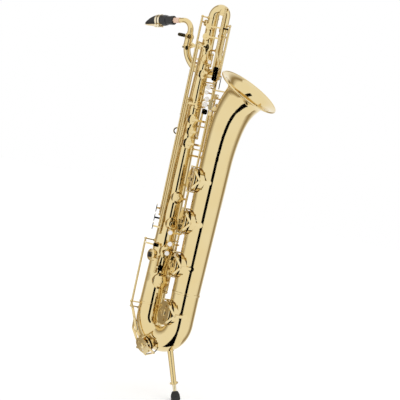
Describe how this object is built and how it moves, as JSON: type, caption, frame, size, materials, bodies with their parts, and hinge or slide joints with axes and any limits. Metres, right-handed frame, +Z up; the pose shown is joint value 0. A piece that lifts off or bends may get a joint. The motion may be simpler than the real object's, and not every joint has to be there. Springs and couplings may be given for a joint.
{
  "type": "baritone saxophone",
  "caption": "Single-reed conical brass wind instrument with a folded body, pigtail neck loop, flared bell, padded keys on hinge rods and a sliding floor peg.",
  "frame": {"origin": "centre of the floor peg's flat rubber end", "axes": "+Z up along the main body tube, +X from the body tube towards the bell, -Y to the player's right, where the key cups face"},
  "size_m": [0.5072, 0.1852, 1.1323],
  "materials": {
    "tube_brass": "clear gold lacquer, mirror polished",
    "key_brass": "clear gold lacquer, polished",
    "guard_brass": "clear gold lacquer, polished",
    "fitting_brass": "clear gold lacquer, polished",
    "steel": "ground steel",
    "rod_steel": "lacquered brass",
    "ebonite": "black ebonite, satin",
    "cane": "dry cane",
    "cork": "greased cork",
    "rubber": "black moulded rubber",
    "ligature_metal": "lacquered brass",
    "pearl": "mother-of-pearl style key touch",
    "pad_leather": "tan leather pad",
    "felt": "dark felt"
  },
  "bodies": {
    "root": {"body_tube": "tube_brass", "bottom_bow": "tube_brass", "bell": "tube_brass", "bell_rim": "tube_brass", "body_bow_ring": "tube_brass", "bell_bow_ring": "tube_brass", "top_bow": "tube_brass", "pigtail_loop": "tube_brass", "hinge_rods": "steel", "body_posts": "fitting_brass", "bell_posts": "fitting_brass", "guard_low_a": "guard_brass", "guard_low_b_flat": "guard_brass", "guard_low_b": "guard_brass", "guard_low_c_sharp": "guard_brass", "guard_low_c": "guard_brass", "neck_receiver": "fitting_brass", "peg_socket": "fitting_brass", "bell_brace": "fitting_brass", "pigtail_braces": "fitting_brass", "lyre_holder": "fitting_brass", "strap_ring": "fitting_brass", "thumb_hook": "fitting_brass", "thumb_rest": "fitting_brass", "water_key_saddle": "fitting_brass"},
    "neck": {"neck_tube": "key_brass", "neck_cork": "cork"},
    "mouthpiece": {"mouthpiece": "ebonite", "reed": "cane", "ligature": "ligature_metal", "ligature_screws": "ligature_metal"},
    "neck_screw": {"neck_screw": "fitting_brass"},
    "peg": {"peg_rod": "rod_steel", "peg_tip": "rubber"},
    "peg_collar": {"peg_collar": "fitting_brass"},
    "d_key": {"d_key": "key_brass"},
    "e_key": {"e_key": "key_brass"},
    "f_key": {"f_key": "key_brass"},
    "f_sharp_key": {"f_sharp_key": "key_brass"},
    "g_key": {"g_key": "key_brass"},
    "b_key": {"b_key": "key_brass"},
    "a_key": {"a_key": "key_brass"},
    "c_key": {"c_key": "key_brass"},
    "g_sharp_key": {"g_sharp_key": "key_brass"},
    "low_b_flat_key": {"low_b_flat_key": "key_brass"},
    "low_b_key": {"low_b_key": "key_brass"},
    "low_c_sharp_key": {"low_c_sharp_key": "key_brass"},
    "low_a_key": {"low_a_key": "key_brass"},
    "low_e_flat_key": {"low_e_flat_key": "key_brass"},
    "high_e_key": {"high_e_key": "key_brass"},
    "side_c_key": {"side_c_key": "key_brass"},
    "side_b_flat_key": {"side_b_flat_key": "key_brass"},
    "palm_d_key": {"palm_d_key": "key_brass"},
    "palm_e_flat_key": {"palm_e_flat_key": "key_brass"},
    "palm_f_key": {"palm_f_key": "key_brass"},
    "low_c_key": {"low_c_key": "key_brass"},
    "low_c_lever": {"low_c_lever": "key_brass"},
    "thumb_lever": {"thumb_lever": "key_brass"},
    "octave_key": {"octave_key": "key_brass"},
    "water_key": {"water_key": "key_brass"}
  },
  "joints": [
    {"name": "neck_swivel", "type": "hinge", "parent": "root", "child": "neck", "pos_m": [-0.233, 0, 1.022], "axis": [0, 0, 1], "range_deg": [-30, 30]},
    {"name": "mouthpiece_slide", "type": "slide", "parent": "neck", "child": "mouthpiece", "axis": [-0.9945, 0, -0.1045], "range_m": [-0.006, 0.008]},
    {"name": "neck_screw_turn", "type": "hinge", "parent": "root", "child": "neck_screw", "pos_m": [-0.22247, -0.01398, 1.023], "axis": [-0.7986, -0.6018, 0], "range_deg": [0, 180]},
    {"name": "peg_slide", "type": "slide", "parent": "root", "child": "peg", "axis": [0.4023, 0, -0.9155], "range_m": [0, 0.06]},
    {"name": "peg_collar_turn", "type": "hinge", "parent": "root", "child": "peg_collar", "pos_m": [-0.02011, 0, 0.04578], "axis": [0.4023, 0, -0.9155], "range_deg": [-60, 60]},
    {"name": "d_hinge", "type": "hinge", "parent": "root", "child": "d_key", "pos_m": [-0.117, 0.002, 0.232], "axis": [0, 0, -1], "range_deg": [0, 11.41], "stiffness_Nm_per_rad": 0.2, "springref_deg": -6.88},
    {"name": "e_hinge", "type": "hinge", "parent": "root", "child": "e_key", "pos_m": [-0.117, 0.002, 0.232], "axis": [0, 0, -1], "range_deg": [0, 11.41], "stiffness_Nm_per_rad": 0.2, "springref_deg": -6.88},
    {"name": "f_hinge", "type": "hinge", "parent": "root", "child": "f_key", "pos_m": [-0.117, 0.002, 0.232], "axis": [0, 0, -1], "range_deg": [0, 11.41], "stiffness_Nm_per_rad": 0.2, "springref_deg": -6.88},
    {"name": "f_sharp_hinge", "type": "hinge", "parent": "root", "child": "f_sharp_key", "pos_m": [-0.117, 0.002, 0.232], "axis": [0, 0, -1], "range_deg": [0, 11.03], "stiffness_Nm_per_rad": 0.2, "springref_deg": -6.88},
    {"name": "g_hinge", "type": "hinge", "parent": "root", "child": "g_key", "pos_m": [-0.1152, 0.0187, 0.232], "axis": [0, 0, -1], "range_deg": [0, 7.56], "stiffness_Nm_per_rad": 0.2, "springref_deg": -6.88},
    {"name": "b_hinge", "type": "hinge", "parent": "root", "child": "b_key", "pos_m": [-0.1152, 0.0187, 0.232], "axis": [0, 0, -1], "range_deg": [0, 7.46], "stiffness_Nm_per_rad": 0.2, "springref_deg": -6.88},
    {"name": "a_hinge", "type": "hinge", "parent": "root", "child": "a_key", "pos_m": [-0.109, 0.006, 0.232], "axis": [0, 0, -1], "range_deg": [0, 8.36], "stiffness_Nm_per_rad": 0.2, "springref_deg": -6.88},
    {"name": "c_hinge", "type": "hinge", "parent": "root", "child": "c_key", "pos_m": [-0.1281, -0.0085, 0.232], "axis": [0, 0, -1], "range_deg": [0, 16.67], "stiffness_Nm_per_rad": 0.2, "springref_deg": -6.88},
    {"name": "g_sharp_hinge", "type": "hinge", "parent": "root", "child": "g_sharp_key", "pos_m": [-0.1293, 0.0043, 0.232], "axis": [0, 0, 1], "range_deg": [0, 9.85], "stiffness_Nm_per_rad": 0.2, "springref_deg": -6.88},
    {"name": "low_b_flat_hinge", "type": "hinge", "parent": "root", "child": "low_b_flat_key", "pos_m": [-0.094, 0.002, 0.232], "axis": [0, 0, 1], "range_deg": [0, 5.94], "stiffness_Nm_per_rad": 0.35, "springref_deg": -6.88},
    {"name": "low_b_hinge", "type": "hinge", "parent": "root", "child": "low_b_key", "pos_m": [-0.091, 0.011, 0.232], "axis": [0, 0, 1], "range_deg": [0, 5.79], "stiffness_Nm_per_rad": 0.35, "springref_deg": -6.88},
    {"name": "low_c_sharp_hinge", "type": "hinge", "parent": "root", "child": "low_c_sharp_key", "pos_m": [-0.1, 0.01, 0.232], "axis": [0, 0, 1], "range_deg": [0, 4.78], "stiffness_Nm_per_rad": 0.35, "springref_deg": -6.88},
    {"name": "low_a_hinge", "type": "hinge", "parent": "root", "child": "low_a_key", "pos_m": [-0.098, -0.008, 0.232], "axis": [0, 0, 1], "range_deg": [0, 6.07], "stiffness_Nm_per_rad": 0.35, "springref_deg": -6.88},
    {"name": "low_e_flat_hinge", "type": "hinge", "parent": "root", "child": "low_e_flat_key", "pos_m": [-0.14292, -0.03837, 0.232], "axis": [0, 0, 1], "range_deg": [0, 13.06], "stiffness_Nm_per_rad": 0.35, "springref_deg": -6.88},
    {"name": "high_e_hinge", "type": "hinge", "parent": "root", "child": "high_e_key", "pos_m": [-0.17794, -0.02854, 0.232], "axis": [0, 0, 1], "range_deg": [0, 6.37], "stiffness_Nm_per_rad": 0.2, "springref_deg": -6.88},
    {"name": "side_c_hinge", "type": "hinge", "parent": "root", "child": "side_c_key", "pos_m": [-0.16753, -0.03322, 0.232], "axis": [0, 0, -1], "range_deg": [0, 8.62], "stiffness_Nm_per_rad": 0.2, "springref_deg": -6.88},
    {"name": "side_b_flat_hinge", "type": "hinge", "parent": "root", "child": "side_b_flat_key", "pos_m": [-0.16, -0.0345, 0.232], "axis": [0, 0, -1], "range_deg": [0, 8.06], "stiffness_Nm_per_rad": 0.2, "springref_deg": -6.88},
    {"name": "palm_d_hinge", "type": "hinge", "parent": "root", "child": "palm_d_key", "pos_m": [-0.1, -0.012, 0.232], "axis": [0, 0, 1], "range_deg": [0, 3.65], "stiffness_Nm_per_rad": 0.2, "springref_deg": -6.88},
    {"name": "palm_e_flat_hinge", "type": "hinge", "parent": "root", "child": "palm_e_flat_key", "pos_m": [-0.092, -0.004, 0.232], "axis": [0, 0, 1], "range_deg": [0, 3.2], "stiffness_Nm_per_rad": 0.2, "springref_deg": -6.88},
    {"name": "palm_f_hinge", "type": "hinge", "parent": "root", "child": "palm_f_key", "pos_m": [-0.104, -0.024, 0.232], "axis": [0, 0, 1], "range_deg": [0, 14.04], "stiffness_Nm_per_rad": 0.2, "springref_deg": -6.88},
    {"name": "low_c_hinge", "type": "hinge", "parent": "root", "child": "low_c_key", "pos_m": [-0.191, -0.037, 0.212], "axis": [-0.0583, -0.4856, 0.8722], "range_deg": [0, 4.01], "stiffness_Nm_per_rad": 0.35, "springref_deg": -6.88},
    {"name": "low_c_lever_hinge", "type": "hinge", "parent": "root", "child": "low_c_lever", "pos_m": [-0.20552, -0.0343, 0.232], "axis": [0, 0, 1], "range_deg": [0, 6], "stiffness_Nm_per_rad": 0.35, "springref_deg": -6.88},
    {"name": "thumb_lever_hinge", "type": "hinge", "parent": "root", "child": "thumb_lever", "pos_m": [-0.19177, -0.01267, 0.232], "axis": [0, 0, 1], "range_deg": [0, 8], "stiffness_Nm_per_rad": 0.2, "springref_deg": -6.88},
    {"name": "octave_hinge", "type": "hinge", "parent": "root", "child": "octave_key", "pos_m": [-0.19348, -0.0059, 0.232], "axis": [0, 0, 1], "range_deg": [0, 6.53], "stiffness_Nm_per_rad": 0.2, "springref_deg": -6.88},
    {"name": "water_hinge", "type": "hinge", "parent": "root", "child": "water_key", "pos_m": [-0.19, 0.04107, 0.91527], "axis": [0, 0.8729, 0.4879], "range_deg": [0, 14], "stiffness_Nm_per_rad": 0.2, "springref_deg": -6.88}
  ],
  "couplings": [
    {"joint": "f_sharp_hinge", "follows": "f_hinge", "ratio": 0.96519},
    {"joint": "low_c_hinge", "follows": "low_c_lever_hinge", "ratio": 0.66739},
    {"joint": "octave_hinge", "follows": "thumb_lever_hinge", "ratio": 0.81491}
  ]
}
